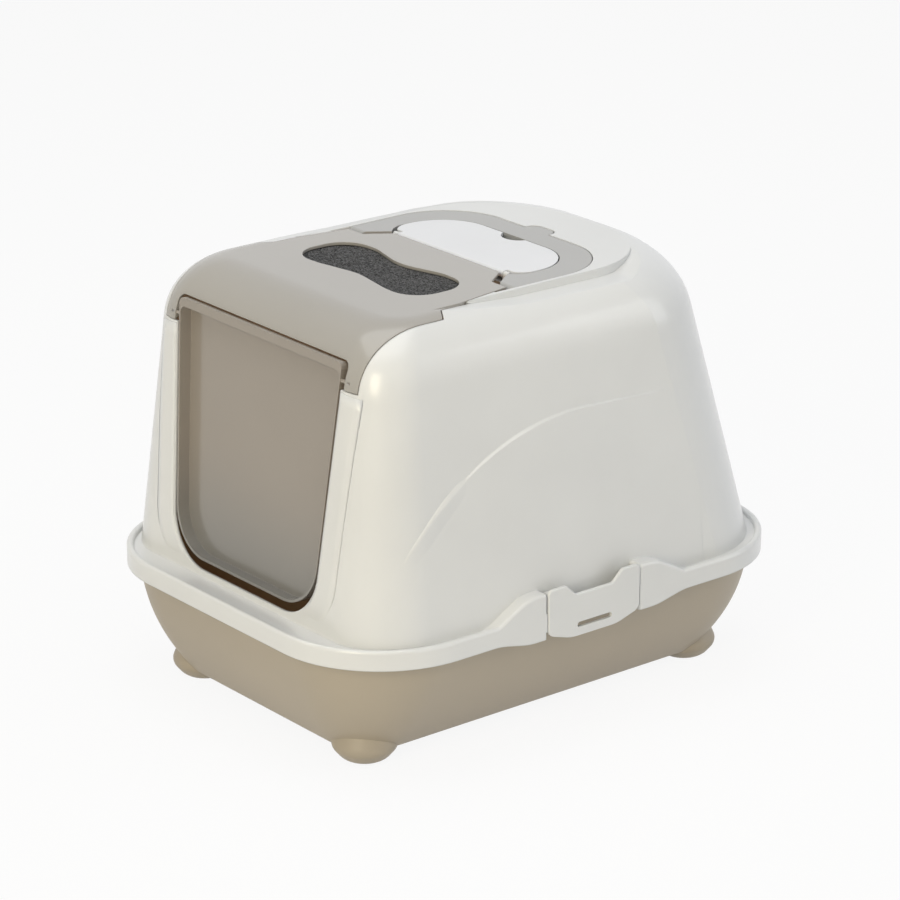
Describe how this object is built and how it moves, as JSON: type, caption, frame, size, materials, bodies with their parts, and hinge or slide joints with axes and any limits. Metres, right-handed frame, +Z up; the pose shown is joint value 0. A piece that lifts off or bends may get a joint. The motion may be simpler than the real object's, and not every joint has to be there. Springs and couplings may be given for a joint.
{
  "type": "hooded cat litter box",
  "caption": "Hooded litter box: footed tray, lift-off hood, hinged front visor with filter pad, translucent swing door, folding top handle, storage lid and side latches.",
  "frame": {"origin": "centre of the footprint on the floor, under the middle of the tray, at the level of the undersides of the feet", "axes": "+X to the right seen from the front, +Y to the rear, +Z up; the entrance faces -Y"},
  "size_m": [0.3936, 0.49, 0.373],
  "materials": {
    "tray": "satin moulded plastic",
    "hood": "pearly gloss",
    "visor": "gloss",
    "door": "translucent smoked plastic",
    "filter": "open-cell carbon foam",
    "retainer": "satin moulded plastic",
    "handle": "gloss",
    "lid": "gloss",
    "latch": "gloss",
    "pins": "satin moulded plastic"
  },
  "bodies": {
    "base": {"tray": "tray", "hood": "hood", "visor_hinge_pins": "pins"},
    "front_visor": {"visor": "visor", "filter_pad": "filter", "filter_retainer": "retainer"},
    "door": {"swing_door": "door"},
    "handle": {"carry_handle": "handle"},
    "lid": {"storage_lid": "lid", "storage_lid_pins": "pins"},
    "right_latch": {"latch_right": "latch"},
    "left_latch": {"latch_left": "latch"}
  },
  "joints": [
    {"name": "visor_hinge", "type": "hinge", "parent": "base", "child": "front_visor", "pos_m": [0, -0.028, 0.3674], "axis": [-1, 0, 0], "range_deg": [0, 85]},
    {"name": "door_hinge", "type": "hinge", "parent": "front_visor", "child": "door", "pos_m": [0, -0.1936, 0.331], "axis": [-1, 0, 0], "range_deg": [-70, 70]},
    {"name": "handle_hinge", "type": "hinge", "parent": "base", "child": "handle", "pos_m": [0, -0.0135, 0.3677], "axis": [1, 0, 0], "range_deg": [0, 90]},
    {"name": "storage_lid_hinge", "type": "hinge", "parent": "base", "child": "lid", "pos_m": [0, 0.0065, 0.3699], "axis": [1, 0, 0], "range_deg": [0, 80]},
    {"name": "latch_right_hinge", "type": "hinge", "parent": "base", "child": "right_latch", "pos_m": [0.1905, 0, 0.134], "axis": [0, -1, 0], "range_deg": [0, 75]},
    {"name": "latch_left_hinge", "type": "hinge", "parent": "base", "child": "left_latch", "pos_m": [-0.1905, 0, 0.134], "axis": [0, 1, 0], "range_deg": [0, 75]}
  ]
}
